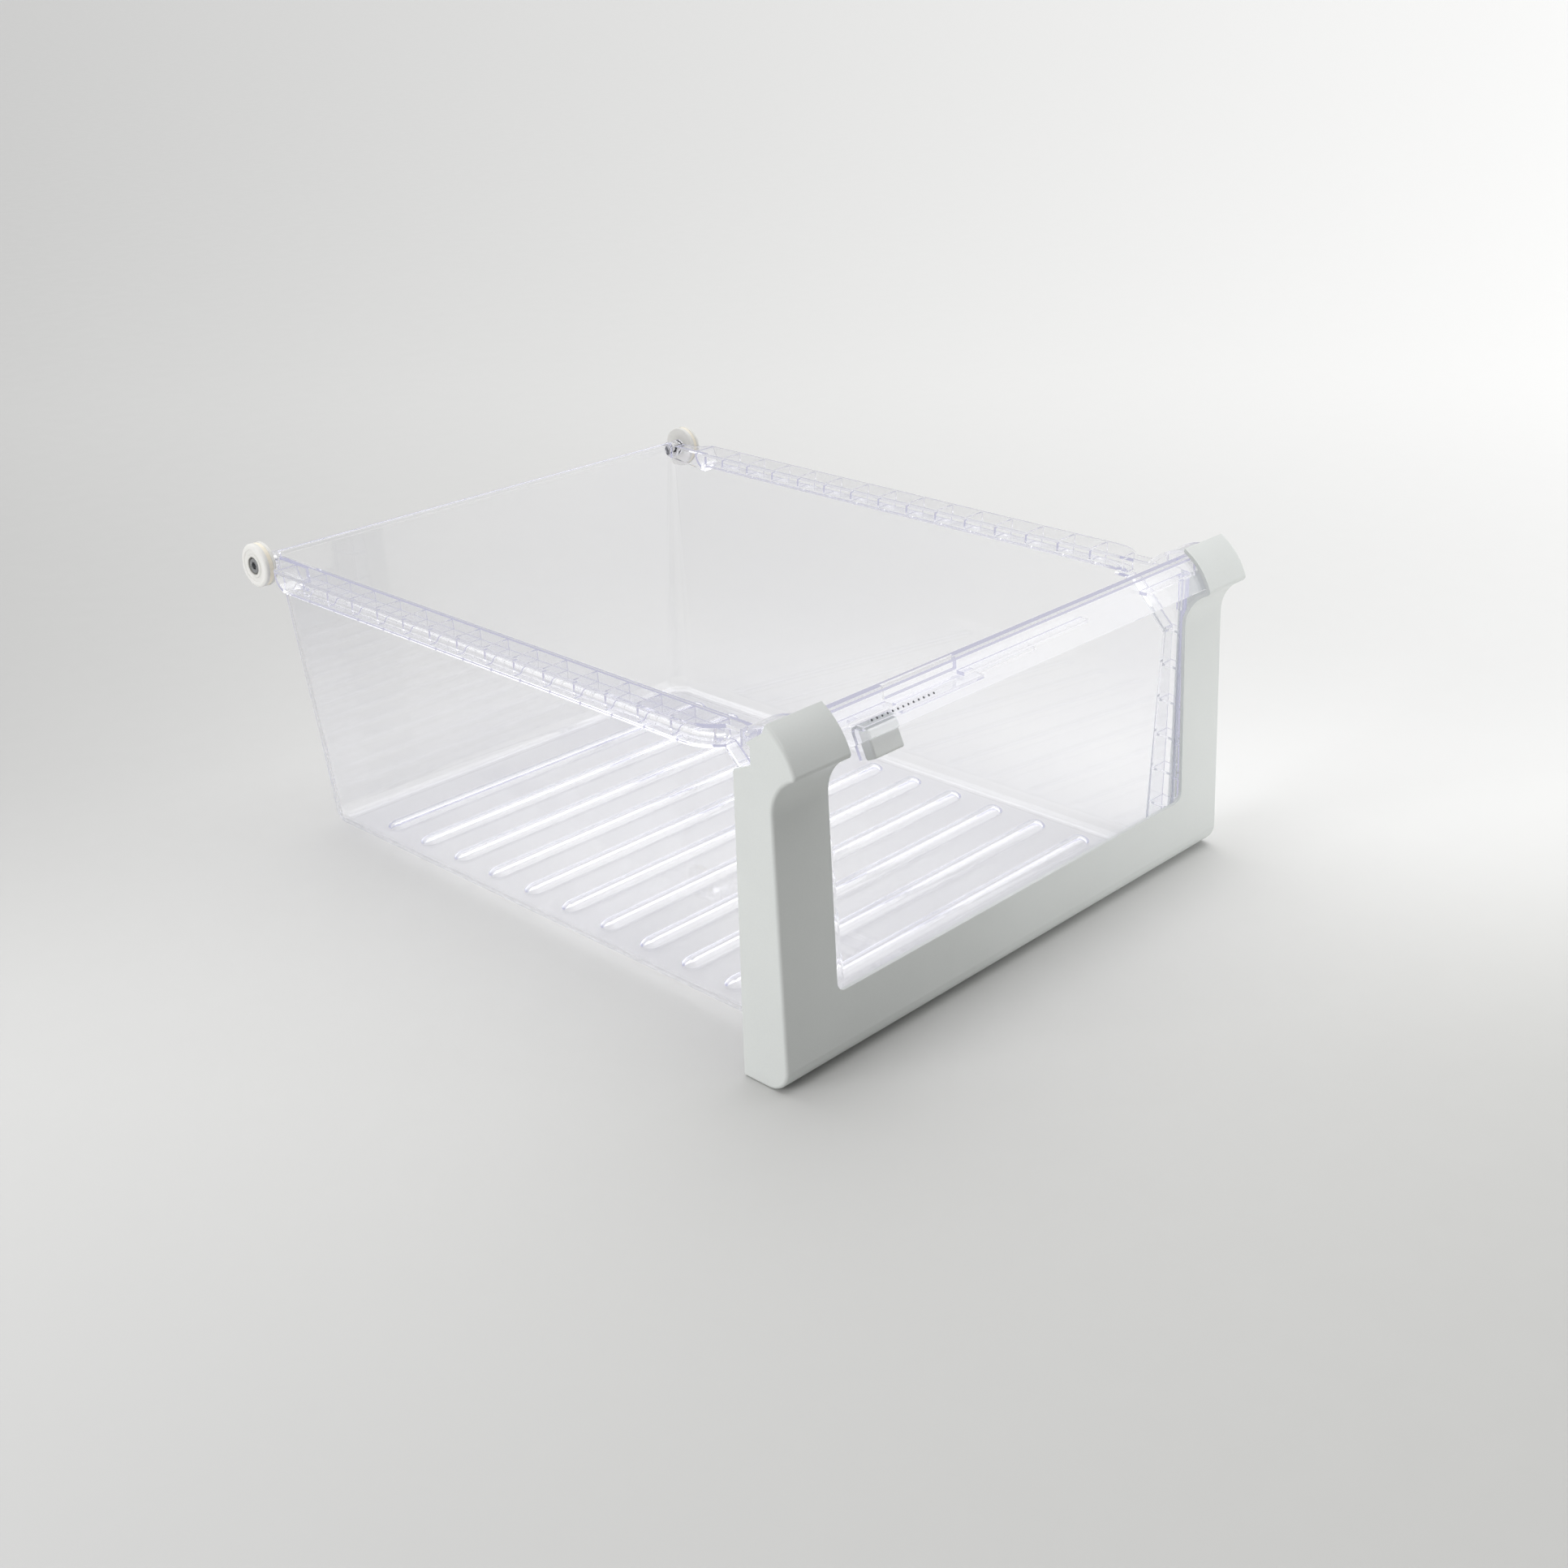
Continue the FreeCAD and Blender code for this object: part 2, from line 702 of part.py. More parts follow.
def build_bin():
    """The clear bin: a tapered tub with a ridged floor, and all that is moulded on to it."""
    edge_radius = bottom_radius - lip_recess
    outside = tub(0.0, rim_z, edge_radius)
    inside = tub(bin_wall, rim_z + bin_wall, edge_radius - bin_wall)
    shell = outside.cut(inside)
    ridge_ys = spread(ridge_first_y, rear_bottom_y - ridge_rear_margin, ridge_count)
    ridges = [capsule(y, ridge_radius).common(outside) for y in ridge_ys]
    body = fused(shell, ridges)
    body = body.cut([capsule(y, ridge_radius - bin_wall) for y in ridge_ys])
    additions = [build_lip(), rear_bead()]
    for part in (rail(), front_channel(), corner_hood(), roller_boss()):
        additions += [piece.cut(inside) for piece in both_sides(part)]
    body = fused(body, additions)
    vent_low = ledge_z + ledge_wall + vent_sill
    vent = block(-ledge_gap_outer_x, -ledge_gap_inner_x, wall_y(vent_low) - bin_wall,
                 wall_y(vent_low) + 2 * bin_wall, vent_low, vent_low + vent_height)
    return body.cut([vent] + both_sides(roller_hole()))


knob_up = (math.sin(math.radians(knob_lean_deg)), math.cos(math.radians(knob_lean_deg)))
knob_in = (knob_up[1], -knob_up[0])
knob_foot = (knob_foot_y, rim_z - knob_foot_drop)
knob_brow = along(knob_foot, knob_up, (shutter_bottom_z - knob_foot[1]) / knob_up[1])
knob_heel = along(knob_foot, knob_in, knob_depth)
# Where the knob's slanting back meets the upright back of its top.
knob_nape = along(knob_heel, knob_up, (knob_back_y - knob_heel[0]) / knob_up[0])


def build_knob():
    """The grip: a rounded block that slants like the lip and carries the slide on its top."""
    section = corners(knob_foot, knob_brow, (knob_back_y, shutter_bottom_z), knob_nape, knob_heel)
    half = knob_width / 2
    knob = side_prism(section, knob_x - half, knob_x + half)
    rounded = []
    for edge in knob.Edges:
        box = edge.BoundBox
        if box.YMax < max(knob_brow[0], knob_heel[0]) + TINY:
            rounded.append(edge)
    return knob.makeFillet(knob_edge_radius, rounded)


def build_shutter():
    """The clear slide: a strip with an arm and a leaf on the guide, and a slanting tab behind the knob."""
    tab_half = knob_width / 2 + shutter_tab_overhang
    left = knob_x - tab_half
    leaf_left = knob_x + shutter_leaf_offset
    right = leaf_left + shutter_leaf_length
    front = lip_y(shutter_top_z, lip_recess + lip_wall) + 2 * slide_gap
    tab_back_y = knob_back_y + shutter_wall
    strip = block(left, right, front, tab_back_y, shutter_bottom_z, shutter_top_z)
    leaf_back = wall_y(shutter_bottom_z) - slide_gap
    leaf = block(leaf_left, right, front, leaf_back, shutter_bottom_z, shutter_top_z)
    arm = block(left, left + shutter_arm_width, front, leaf_back, shutter_bottom_z, shutter_top_z)
    foot = along(knob_heel, knob_up, shutter_tab_foot)
    foot_back = along(foot, knob_in, shutter_wall)
    nape_back = along(foot_back, knob_up, (tab_back_y - foot_back[0]) / knob_up[0])
    tab = side_prism(corners(
        foot,
        knob_nape,
        (knob_back_y, shutter_top_z),
        (tab_back_y, shutter_top_z),
        nape_back,
        foot_back,
    ), left, knob_x + tab_half)
    return fused(strip, [leaf, arm, tab])


def revolved(points):
    """A right-hand wheel part from (distance along X, radius) corners, turned about the roller's axis."""
    ring = [vec(x, roller_y, roller_z + radius) for x, radius in points]
    face = Part.Face(Part.makePolygon(ring + ring[:1]))
    return face.revolve(vec(0, roller_y, roller_z), X_AXIS, 360)


def rim_edges(wheel, x):
    """The wheel's outer edges at a place along its axle."""
    found = []
    for edge in wheel.Edges:
        box = edge.BoundBox
        if abs(box.Center.x - x) < TINY and box.XLength < TINY and box.ZLength > 2 * roller_radius - TINY:
            found.append(edge)
    return found


def build_roller():
    """The wheel: a groove for its band, a shallow ring in its face and a sunk seat for the screw's head."""
    bore = screw_shoulder_radius + running_gap
    dish = roller_outer_x - roller_dish_depth
    wheel = revolved([
        (roller_inner_x, bore),
        (roller_inner_x, roller_radius),
        (groove_inner_x, roller_radius),
        (groove_inner_x, groove_radius),
        (groove_outer_x, groove_radius),
        (groove_outer_x, roller_radius),
        (roller_outer_x, roller_radius),
        (roller_outer_x, roller_dish_outer_radius),
        (dish, roller_dish_outer_radius - roller_dish_depth),
        (dish, roller_dish_inner_radius + roller_dish_depth),
        (roller_outer_x, roller_dish_inner_radius),
        (roller_outer_x, hub_radius),
        (roller_outer_x - hub_depth, hub_radius),
        (roller_outer_x - hub_depth, bore),
    ])
    wheel = wheel.makeFillet(roller_outer_edge, rim_edges(wheel, roller_outer_x))
    return wheel.makeFillet(roller_inner_edge, rim_edges(wheel, roller_inner_x))


def build_band():
    crown = roller_radius - band_sunk
    return revolved([
        (groove_inner_x, groove_radius),
        (groove_inner_x, crown),
        (groove_outer_x, crown),
        (groove_outer_x, groove_radius),
    ])


def build_screw():
    """Shoulder screw: threaded end in the boss, shoulder through the wheel, socket head sunk in the hub."""
    under_head = roller_outer_x - hub_depth + roller_side_gap
    crown = under_head + head_height
    screw = revolved([
        (boss_face_x - thread_length, 0.0),
        (boss_face_x - thread_length, thread_radius),
        (boss_face_x, thread_radius),
        (boss_face_x, screw_shoulder_radius),
        (under_head, screw_shoulder_radius),
        (under_head, head_radius),
        (crown - head_edge, head_radius),
        (crown, head_radius - head_edge),
        (crown, 0.0),
    ])
    corner_radius = socket_across_flats / math.sqrt(3)
    hexagon = []
    for i in range(6):
        angle = math.radians(60 * i)
        direction = (math.cos(angle), math.sin(angle))
        hexagon.append(along((roller_y, roller_z), direction, corner_radius))
    return screw.cut(side_prism(corners(*hexagon), crown - socket_depth, crown + head_height))


def export(name, shape):
    placed = shape.copy()
    placed.translate(vec(0, -(front_tip_y + back_tip_y) / 2, 0))
    placed.exportStep("parts/" + name + ".step")
    print(name, "valid", placed.isValid(), "solids", len(placed.Solids), "volume", round(placed.Volume))


os.makedirs("parts", exist_ok=True)
export("front_frame", build_frame())
export("bin", build_bin())
export("humidity_shutter", build_shutter())
export("humidity_knob", build_knob())
wheel_parts = {"roller": build_roller(), "roller_band": build_band(), "roller_screw": build_screw()}
for part_name, right_part in wheel_parts.items():
    export("right_" + part_name, right_part)
    export("left_" + part_name, mirrored(right_part))
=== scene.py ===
import math

import bpy
from mathutils import Matrix, Vector


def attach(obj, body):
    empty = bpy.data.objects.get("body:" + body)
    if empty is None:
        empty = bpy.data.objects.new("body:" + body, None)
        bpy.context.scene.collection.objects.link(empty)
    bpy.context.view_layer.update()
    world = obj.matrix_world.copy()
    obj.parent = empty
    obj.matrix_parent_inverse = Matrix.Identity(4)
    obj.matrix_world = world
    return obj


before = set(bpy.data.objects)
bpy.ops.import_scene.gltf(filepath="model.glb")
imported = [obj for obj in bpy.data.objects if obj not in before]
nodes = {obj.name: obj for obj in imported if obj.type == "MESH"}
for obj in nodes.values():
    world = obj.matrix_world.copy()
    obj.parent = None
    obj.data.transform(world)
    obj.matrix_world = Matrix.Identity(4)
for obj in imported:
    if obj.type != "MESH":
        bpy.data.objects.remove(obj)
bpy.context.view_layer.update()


def rgb(red, green, blue):
    """A colour written as it looks on a screen, from 0 to 255."""
    linear = []
    for value in (red, green, blue):
        share = value / 255
        linear.append(share / 12.92 if share <= 0.04045 else ((share + 0.055) / 1.055) ** 2.4)
    return (*linear, 1.0)


WHITE = (1.0, 1.0, 1.0, 1.0)

# Camera
CAMERA_PLACE = Vector((-0.81925, -0.83856, 0.56990))
CAMERA_AZIMUTH = math.radians(-45.894)
CAMERA_ELEVATION = math.radians(24.44)
CAMERA_ROLL = math.radians(-1.131)
CAMERA_LENS = 46.725
CAMERA_SENSOR = 36.0
CAMERA_NEAR = 0.05
CAMERA_FAR = 100.0

# The picture's right and its depth along the floor
VIEW_RIGHT = (math.cos(CAMERA_AZIMUTH), math.sin(CAMERA_AZIMUTH))
VIEW_DEPTH = (-math.sin(CAMERA_AZIMUTH), math.cos(CAMERA_AZIMUTH))

# Humidity scale on the lip
DOT_COUNT = 13
DOT_FIRST_X = -0.1323
DOT_LAST_X = -0.0852
DOT_HEIGHT = 0.1874
DOT_RADIUS = 0.00065
DOT_LIFT = 0.00006
DOT_SIDES = 16
DOT_CAST_Y = -1.0

# Wheel axle (Y, Z), where the turned rings of the wheels and screws are centred
AXLE = (0.226596, 0.1802)

# Where a noise pattern's dark and light parts end
NOISE_LOW = 0.3
NOISE_HIGH = 0.7

# Grey mouldings: darkest and lightest tone, roughness, and the grain's scale and strength
FRAME_LOOK = (rgb(208, 211, 209), rgb(214, 217, 215), 0.38, 1500.0, 0.12)
KNOB_LOOK = (rgb(220, 223, 221), rgb(229, 231, 230), 0.42, 1800.0, 0.3)
GRAIN_LOW = 0.35
GRAIN_HIGH = 0.65
GRAIN_HEIGHT = 0.0002
FLOW_SCALE = 14.0
FLOW_SHARE = 0.6

# Clear plastic
CLEAR_IOR = 1.54
CLEAR_TINT = (0.45, 0.46, 0.92, 1.0)
CLEAR_FACE = (0.985, 0.985, 0.995, 1.0)
CLEAR_SHADOW = (0.98, 0.98, 0.985, 1.0)
# The violet of a painted glow, which stands in for light from rays trapped in the clear walls
CLEAR_PAINTED_GLOW = (0.58, 0.58, 0.68, 1.0)
CLEAR_ROUGHNESS = 0.02
TRAPPED_MIRRORS = 3.5
TRAPPED_BOUNCES = 9.5
BIN_DENSITY = 5.0
SHUTTER_DENSITY = 6.0

# Wheels: painted shade at the hub and the plain tone at the rim, between these distances from the axle
WHEEL_SHADED_HUB = rgb(212, 211, 206)
WHEEL_RIM = rgb(228, 227, 224)
WHEEL_HUB_RADIUS = 0.005
WHEEL_RIM_RADIUS = 0.0105
WHEEL_CLOUD_SHARE = 0.25
WHEEL_RINGS = 9000.0
SCREW_RINGS = 16000.0
RING_HEIGHT = 0.00005

# Floor: left and right tones of the far, middle and near parts, and where along the depth they meet; these
# tones are painted light, brighter towards the back right, with painted shade near the camera
FLOOR_HALF = 14.0
FLOOR_FAR = (rgb(195, 195, 194), rgb(224, 224, 223), rgb(250, 250, 249))
FLOOR_MIDDLE = (rgb(184, 184, 183), rgb(236, 236, 235))
FLOOR_NEAR = (rgb(201, 201, 200), rgb(201, 201, 199))
FLOOR_TO_FAR = (0.3, 1.3)
FLOOR_TO_NEAR = (-0.3, 0.15)
FLOOR_SHADE_REACH = (-0.75, -0.15)
FLOOR_SHADE = (0.85, 1.02)
FAN_HALF = 0.42
FAN_START = 1.25
FAN_LEAST = 0.3

# Room: the side that lights the scene and the side that the clear walls mirror
LIGHT_SIDE = (0.55, 0.4, 0.73)
LIGHT_REACH = (-0.5, 0.9)
LIGHT_LEVEL = (0.03, 0.5)
MIRROR_SIDE = (0.7, -0.36, 0.62)
MIRROR_REACH = (0.45, 0.95)
MIRROR_LEVEL = (0.6, 1.65)
SEEN_LEVEL = 0.8
SEEN_AFTER_FLOOR = 0.9

# Lamps: place, target, and an area lamp's size, then the power
BROAD_LIGHT = ((0.4, 0.45, 1.75), (0.0, 0.0, 0.0), 2.05)
BROAD_ANGLE = math.radians(80.0)
LEFT_WINDOW = ((-1.9, 0.25, 0.6), (0.0, 0.0, 0.12), (1.1, 0.9), 22.0)
RIGHT_CARD = ((0.6, -1.1, 0.2), (0.2, -0.24, 0.1), (0.3, 0.2), 0.26)
RIGHT_CARD_SPREAD = math.radians(36.0)


def make_camera():
    """The camera looks at the drawer's near left front corner from a little above."""
    cos_e = math.cos(CAMERA_ELEVATION)
    back = Vector((math.sin(CAMERA_AZIMUTH) * cos_e, -math.cos(CAMERA_AZIMUTH) * cos_e,
                   math.sin(CAMERA_ELEVATION)))
    level = Vector((math.cos(CAMERA_AZIMUTH), math.sin(CAMERA_AZIMUTH), 0.0))
    rise = back.cross(level)
    right = level * math.cos(CAMERA_ROLL) + rise * math.sin(CAMERA_ROLL)
    up = rise * math.cos(CAMERA_ROLL) - level * math.sin(CAMERA_ROLL)
    data = bpy.data.cameras.new("camera")
    data.sensor_width = CAMERA_SENSOR
    data.lens = CAMERA_LENS
    data.clip_start = CAMERA_NEAR
    data.clip_end = CAMERA_FAR
    camera = bpy.data.objects.new("camera", data)
    turn = Matrix((right, up, back)).transposed().to_4x4()
    camera.matrix_world = Matrix.Translation(CAMERA_PLACE) @ turn
    bpy.context.collection.objects.link(camera)
    bpy.context.scene.camera = camera


class Graph:
    """The node tree of a material or world. A node's inputs are given by name, or as i0, i1 by number."""

    def __init__(self, owner):
        owner.use_nodes = True
        self.tree = owner.node_tree
        self.tree.nodes.clear()

    def node(self, kind, settings=None, **inputs):
        made = self.tree.nodes.new("ShaderNode" + kind)
        for name, value in (settings or {}).items():
            setattr(made, name, value)
        for name, value in inputs.items():
            self.feed(made, name.replace("_", " "), value)
        return made

    def feed(self, node, name, value):
        by_number = name[0] == "i" and name[1:].isdigit()
        socket = node.inputs[int(name[1:])] if by_number else node.inputs[name]
        if isinstance(value, bpy.types.NodeSocket):
            self.tree.links.new(value, socket)
        else:
            socket.default_value = value

    def math(self, operation, *values):
        made = self.node("Math", {"operation": operation})
        for i, value in enumerate(values):
            self.feed(made, "i%d" % i, value)
        return made.outputs[0]

    def spread(self, value, low, high, to_low, to_high, kind="SMOOTHSTEP"):
        """The value's range from low to high, moved to the range from to_low to to_high."""
        made = self.node("MapRange", {"interpolation_type": kind})
        for name, number in (("From Min", low), ("From Max", high), ("To Min", to_low), ("To Max", to_high)):
            self.feed(made, name, number)
        self.feed(made, "Value", value)
        return made.outputs["Result"]

    def noise_spread(self, noise, to_low, to_high):
        return self.spread(noise, NOISE_LOW, NOISE_HIGH, to_low, to_high, "LINEAR")

    def noise(self, place, scale, detail=2.0, roughness=0.5):
        made = self.node("TexNoise", None, Scale=scale, Detail=detail, Roughness=roughness)
        self.feed(made, "Vector", place)
        return made.outputs["Fac"]

    def ramp(self, fac, *stops):
        made = self.node("ValToRGB")
        elements = made.color_ramp.elements
        for _ in stops[2:]:
            elements.new(0.5)
        for element, (position, colour) in zip(elements, stops):
            element.position = position
            element.color = colour
        self.feed(made, "Fac", fac)
        return made.outputs["Color"]

    def noise_ramp(self, noise, dark, light):
        return self.ramp(noise, (NOISE_LOW, dark), (NOISE_HIGH, light))

    def blend(self, share, first, second):
        made = self.node("Mix", {"data_type": "RGBA"}, i0=share, i6=first, i7=second)
        return made.outputs[2]

    def bump(self, height, strength, distance):
        made = self.node("Bump", None, Strength=strength, Distance=distance)
        self.feed(made, "Height", height)
        return made.outputs["Normal"]

    def facing(self, direction, side):
        """How far a direction of view points to a side of the room."""
        made = self.node("VectorMath", {"operation": "DOT_PRODUCT"}, i0=direction, i1=side)
        return made.outputs["Value"]

    def surface(self, shader):
        out = self.node("OutputMaterial")
        self.feed(out, "Surface", shader)
        return out


def material(name):
    made = bpy.data.materials.new(name)
    return made, Graph(made)


def object_place(graph):
    return graph.node("TexCoord").outputs["Object"]


def moulded_grain(name, dark, light, roughness, grain_scale, grain_strength):
    """Satin moulded plastic: a fine spark-eroded grain over a faint flow pattern."""
    made, g = material(name)
    place = object_place(g)
    flow = g.noise(place, FLOW_SCALE, 3.0)
    grain = g.noise(place, grain_scale, 2.0, 0.6)
    mottle = g.math("ADD", g.math("MULTIPLY", flow, FLOW_SHARE), g.math("MULTIPLY", grain, 1.0 - FLOW_SHARE))
    shader = g.node("BsdfPrincipled", None, IOR=1.5)
    g.feed(shader, "Base Color", g.ramp(mottle, (GRAIN_LOW, dark), (GRAIN_HIGH, light)))
    shine = g.spread(grain, GRAIN_LOW, GRAIN_HIGH, roughness - 0.05, roughness + 0.07, "LINEAR")
    g.feed(shader, "Roughness", shine)
    g.feed(shader, "Normal", g.bump(grain, grain_strength, GRAIN_HEIGHT))
    g.surface(shader.outputs["BSDF"])
    return made


def clear_plastic(name, density):
    """Clear moulded plastic: violet in its depth, a little uneven in its gloss, and lamps shine through it;
    rays trapped in the wall end on a painted violet glow.
    """
    made, g = material(name)
    place = object_place(g)
    flow = g.noise(place, 9.0, 2.0)
    fine = g.noise(place, 60.0, 3.0)
    shader = g.node("BsdfPrincipled", None, IOR=CLEAR_IOR)
    g.feed(shader, "Base Color", g.noise_ramp(flow, CLEAR_FACE, WHITE))
    shader.inputs["Transmission Weight"].default_value = 1.0
    g.feed(shader, "Roughness", g.noise_spread(fine, 0.0, CLEAR_ROUGHNESS))
    through = g.node("BsdfTransparent", None, Color=CLEAR_SHADOW)
    rays = g.node("LightPath").outputs
    # Painted glow: rays that stay trapped in the wall after many mirrorings or bounces end on a violet
    # emission, in place of the light they would bring.
    painted_glow = g.node("Emission", None, Color=CLEAR_PAINTED_GLOW, Strength=1.0)
    mirrored = g.math("GREATER_THAN", rays["Glossy Depth"], TRAPPED_MIRRORS)
    bounced = g.math("GREATER_THAN", rays["Ray Depth"], TRAPPED_BOUNCES)
    inner = g.node("MixShader", None, Fac=g.math("MAXIMUM", mirrored, bounced),
                   i1=shader.outputs["BSDF"], i2=painted_glow.outputs["Emission"])
    mix = g.node("MixShader", None, Fac=rays["Is Shadow Ray"],
                 i1=inner.outputs["Shader"], i2=through.outputs["BSDF"])
    depth = g.node("VolumeAbsorption", None, Color=CLEAR_TINT, Density=density)
    out = g.surface(mix.outputs["Shader"])
    g.feed(out, "Volume", depth.outputs["Volume"])
    return made


def axle_distance(graph, place):
    """How far a point is from the wheels' axle."""
    parts = graph.node("SeparateXYZ", None, Vector=place)
    across = graph.math("SUBTRACT", parts.outputs["Y"], AXLE[0])
    above = graph.math("SUBTRACT", parts.outputs["Z"], AXLE[1])
    squares = graph.math("ADD", graph.math("POWER", across, 2.0), graph.math("POWER", above, 2.0))
    return graph.math("SQRT", squares)


def turned_rings(graph, distance, rings, strength):
    """A faint relief of rings round the axle."""
    return graph.bump(graph.math("SINE", graph.math("MULTIPLY", distance, rings)), strength, RING_HEIGHT)


def wheel_plastic():
    """White acetal with faint turning rings, and painted shade that darkens it towards the hub round the
    screw.
    """
    made, g = material("white_wheel")
    place = object_place(g)
    distance = axle_distance(g, place)
    cloud = g.noise(place, 90.0, 3.0)
    # Painted shade: the face darkens towards the hub, where the screw sits in its recess.
    unshaded = g.spread(distance, WHEEL_HUB_RADIUS, WHEEL_RIM_RADIUS, 0.0, 1.0 - WHEEL_CLOUD_SHARE)
    shade = g.math("ADD", unshaded, g.math("MULTIPLY", cloud, WHEEL_CLOUD_SHARE))
    shader = g.node("BsdfPrincipled", None, IOR=1.48)
    g.feed(shader, "Base Color", g.ramp(shade, (0.0, WHEEL_SHADED_HUB), (1.0, WHEEL_RIM)))
    g.feed(shader, "Roughness", g.noise_spread(cloud, 0.28, 0.4))
    g.feed(shader, "Normal", turned_rings(g, distance, WHEEL_RINGS, 0.12))
    shader.inputs["Subsurface Weight"].default_value = 0.15
    shader.inputs["Subsurface Scale"].default_value = 0.003
    shader.inputs["Subsurface Radius"].default_value = (1.0, 1.0, 0.9)
    g.surface(shader.outputs["BSDF"])
    return made


def band_rubber():
    """Tan elastomer, matt, with a fine grain."""
    made, g = material("tan_rubber")
    place = object_place(g)
    grain = g.noise(place, 1600.0, 2.0)
    cloud = g.noise(place, 120.0, 3.0)
    shader = g.node("BsdfPrincipled", None, IOR=1.5)
    g.feed(shader, "Base Color", g.noise_ramp(cloud, rgb(240, 232, 214), rgb(248, 242, 228)))
    g.feed(shader, "Roughness", g.noise_spread(grain, 0.6, 0.78))
    g.feed(shader, "Normal", g.bump(grain, 0.3, 0.0001))
    g.surface(shader.outputs["BSDF"])
    return made


def screw_steel():
    """Dull plated steel with turned rings."""
    made, g = material("screw_steel")
    place = object_place(g)
    cloud = g.noise(place, 400.0, 3.0)
    shader = g.node("BsdfPrincipled", None, Metallic=1.0)
    g.feed(shader, "Base Color", g.noise_ramp(cloud, rgb(150, 151, 153), rgb(186, 187, 188)))
    g.feed(shader, "Roughness", g.noise_spread(cloud, 0.24, 0.4))
    g.feed(shader, "Normal", turned_rings(g, axle_distance(g, place), SCREW_RINGS, 0.15))
    g.surface(shader.outputs["BSDF"])
    return made


def scale_ink():
    """Grey pad-printing ink, a little thin at places."""
    made, g = material("scale_ink")
    cloud = g.noise(object_place(g), 2500.0, 2.0)
    shader = g.node("BsdfPrincipled", None, IOR=1.45)
    g.feed(shader, "Base Color", g.noise_ramp(cloud, rgb(64, 66, 70), rgb(92, 94, 98)))
    g.feed(shader, "Roughness", g.noise_spread(cloud, 0.4, 0.6))
    g.surface(shader.outputs["BSDF"])
    return made


def dress(node, made):
    mesh = nodes[node].data
    mesh.materials.clear()
    mesh.materials.append(made)


def scale_dots(made):
    """A row of round dots printed on the lip's outer face, above the slider."""
    lip = nodes["bin"]
    across = Vector((1.0, 0.0, 0.0))
    inward = Vector((0.0, 1.0, 0.0))
    points = []
    faces = []
    for i in range(DOT_COUNT):
        x = DOT_FIRST_X + (DOT_LAST_X - DOT_FIRST_X) * i / (DOT_COUNT - 1)
        hit, place, normal, _ = lip.ray_cast(Vector((x, DOT_CAST_Y, DOT_HEIGHT)), inward)
        if not hit:
            raise RuntimeError("no lip under dot %d" % i)
        rise = normal.cross(across).normalized()
        start = len(points)
        for k in range(DOT_SIDES):
            angle = 2 * math.pi * k / DOT_SIDES
            offset = across * math.cos(angle) + rise * math.sin(angle)
            points.append(place + normal * DOT_LIFT + offset * DOT_RADIUS)
        faces.append(list(range(start, start + DOT_SIDES)))
    mesh = bpy.data.meshes.new("humidity_scale")
    mesh.from_pydata([tuple(p) for p in points], [], faces)
    mesh.materials.append(made)
    dots = bpy.data.objects.new("humidity_scale", mesh)
    bpy.context.collection.objects.link(dots)
    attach(dots, "drawer")


def floor_axis(graph, place, direction):
    """How far a point lies along a direction on the floor."""
    parts = graph.node("SeparateXYZ", None, Vector=place)
    along_x = graph.math("MULTIPLY", parts.outputs["X"], direction[0])
    along_y = graph.math("MULTIPLY", parts.outputs["Y"], direction[1])
    return graph.math("ADD", along_x, along_y)


def floor_sheet():
    """Pale paper with painted light: lighter towards the back right, and painted shade that makes it a little
    darker near the camera.
    """
    made, g = material("studio_sheet")
    place = object_place(g)
    side = floor_axis(g, place, VIEW_RIGHT)
    depth = floor_axis(g, place, VIEW_DEPTH)
    reach = g.math("MAXIMUM", g.math("ADD", depth, FAN_START), FAN_LEAST)
    across = g.spread(g.math("DIVIDE", side, reach), -FAN_HALF, FAN_HALF, 0.0, 1.0, "LINEAR")
    far = g.ramp(across, *zip((0.0, 0.5, 1.0), FLOOR_FAR))
    middle = g.ramp(across, *zip((0.0, 1.0), FLOOR_MIDDLE))
    near = g.ramp(across, *zip((0.0, 1.0), FLOOR_NEAR))
    behind = g.blend(g.spread(depth, *FLOOR_TO_FAR, 0.0, 1.0), middle, far)
    tone = g.blend(g.spread(depth, *FLOOR_TO_NEAR, 0.0, 1.0), near, behind)
    # Painted shade: the floor darkens towards the camera.
    grey = g.spread(depth, *FLOOR_SHADE_REACH, *FLOOR_SHADE)
    grey_tone = g.node("CombineColor", None, Red=grey, Green=grey, Blue=grey).outputs["Color"]
    shade = g.node("Mix", {"data_type": "RGBA", "blend_type": "MULTIPLY"}, i0=1.0, i6=tone, i7=grey_tone)
    shader = g.node("BsdfPrincipled")
    shader.inputs["Specular IOR Level"].default_value = 0.2
    g.feed(shader, "Roughness", g.noise_spread(g.noise(place, 40.0, 4.0), 0.6, 0.75))
    g.feed(shader, "Base Color", shade.outputs[2])
    g.surface(shader.outputs["BSDF"])
    return made


def make_floor():
    half = FLOOR_HALF
    corners = [(-half, -half, 0), (half, -half, 0), (half, half, 0), (-half, half, 0)]
    mesh = bpy.data.meshes.new("studio_floor")
    mesh.from_pydata(corners, [], [(0, 1, 2, 3)])
    mesh.materials.append(floor_sheet())
    floor = bpy.data.objects.new("studio_floor", mesh)
    bpy.context.collection.objects.link(floor)


def add_lamp(name, data, place, target, power):
    data.energy = power
    lamp = bpy.data.objects.new(name, data)
    lamp.location = place
    lamp.rotation_euler = (Vector(target) - Vector(place)).to_track_quat("-Z", "Y").to_euler()
    lamp.visible_camera = False
    # The clear walls mirror the room and not the lamps.
    lamp.visible_glossy = False
    bpy.context.collection.objects.link(lamp)
    return lamp


def area_lamp(name, place, target, size, power):
    data = bpy.data.lights.new(name, "AREA")
    data.shape = "RECTANGLE"
    data.size, data.size_y = size
    lamp = add_lamp(name, data, place, target, power)
    lamp.visible_transmission = False
    return data


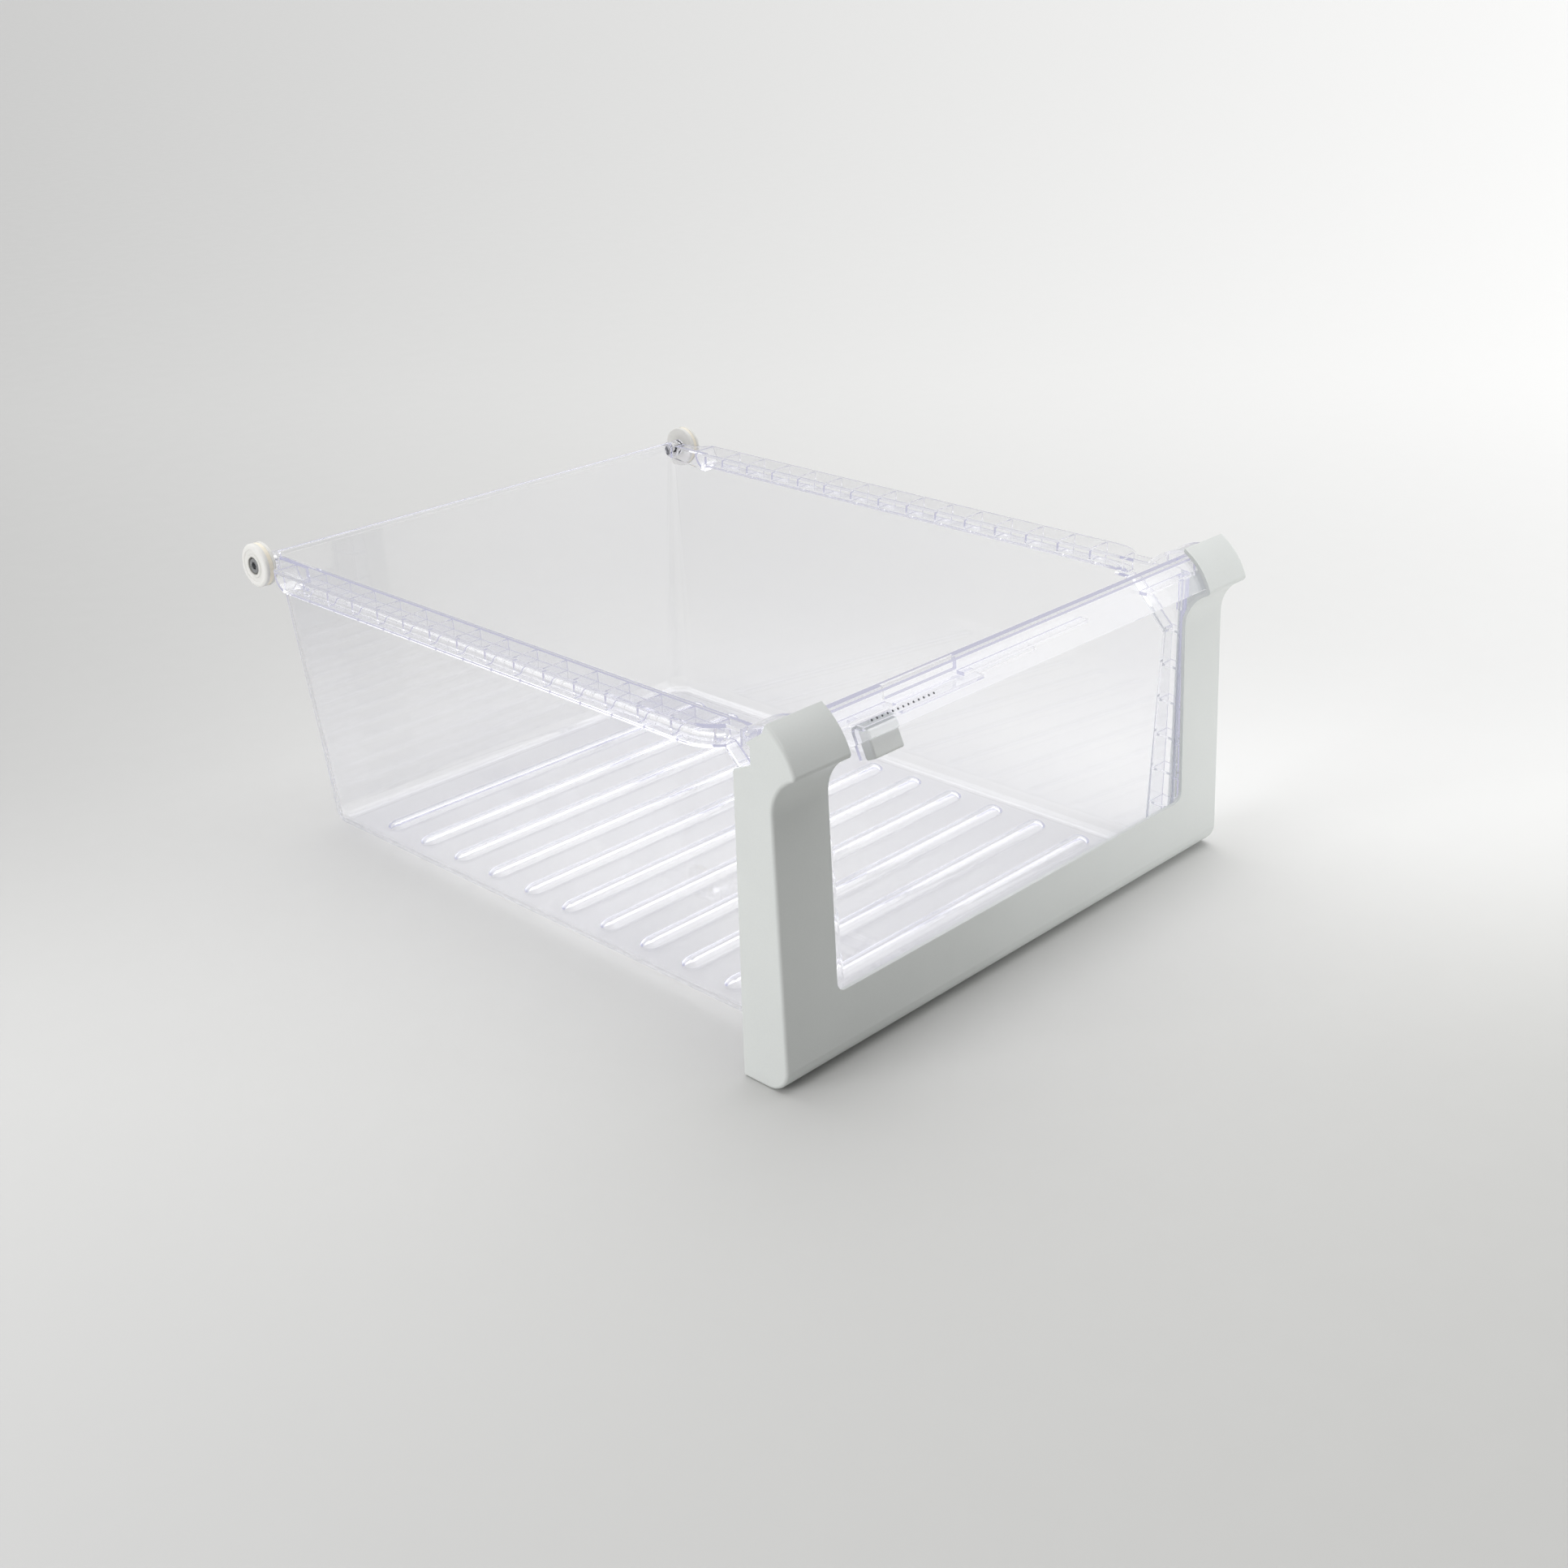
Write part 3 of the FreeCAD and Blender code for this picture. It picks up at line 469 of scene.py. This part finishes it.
def make_room():
    """A pale room: dim where it lights the scene, brighter where it is seen or mirrored."""
    world = bpy.data.worlds.new("studio")
    bpy.context.scene.world = world
    g = Graph(world)
    rays = g.node("LightPath").outputs
    # Light that the floor gathers through the clear walls sees less of the bright room.
    direct = g.spread(rays["Diffuse Depth"], 0.0, 1.0, 1.0, SEEN_AFTER_FLOOR)
    seen = g.math("MAXIMUM", rays["Is Camera Ray"], rays["Is Transmission Ray"])
    direction = g.node("TexCoord").outputs["Generated"]
    lighting = g.spread(g.facing(direction, LIGHT_SIDE), *LIGHT_REACH, *LIGHT_LEVEL)
    mirror = g.spread(g.facing(direction, MIRROR_SIDE), *MIRROR_REACH, *MIRROR_LEVEL)
    mirrored = g.math("MULTIPLY", rays["Is Glossy Ray"], mirror)
    shown = g.math("MULTIPLY", direct, g.math("MAXIMUM", mirrored, g.math("MULTIPLY", seen, SEEN_LEVEL)))
    back = g.node("Background", None, Color=WHITE)
    g.feed(back, "Strength", g.math("MAXIMUM", lighting, shown))
    out = g.node("OutputWorld")
    g.feed(out, "Surface", back.outputs["Background"])


def make_lamps():
    """Broad light from above the back, a window on the left and a small card at the front right."""
    sky = bpy.data.lights.new("broad_light", "SUN")
    sky.angle = BROAD_ANGLE
    add_lamp("broad_light", sky, *BROAD_LIGHT)
    area_lamp("left_window", *LEFT_WINDOW)
    card = area_lamp("right_card", *RIGHT_CARD)
    card.spread = RIGHT_CARD_SPREAD


make_camera()
make_floor()
make_room()
make_lamps()
wheel_white = wheel_plastic()
rubber = band_rubber()
steel = screw_steel()
dress("bin", clear_plastic("clear_plastic", BIN_DENSITY))
dress("humidity_shutter", clear_plastic("clear_shutter", SHUTTER_DENSITY))
dress("front_frame", moulded_grain("grey_frame", *FRAME_LOOK))
dress("humidity_knob", moulded_grain("grey_knob", *KNOB_LOOK))
for side_name in ("left", "right"):
    dress(side_name + "_roller", wheel_white)
    dress(side_name + "_roller_band", rubber)
    dress(side_name + "_roller_screw", steel)
scale_dots(scale_ink())

bpy.context.scene.view_settings.view_transform = "Standard"
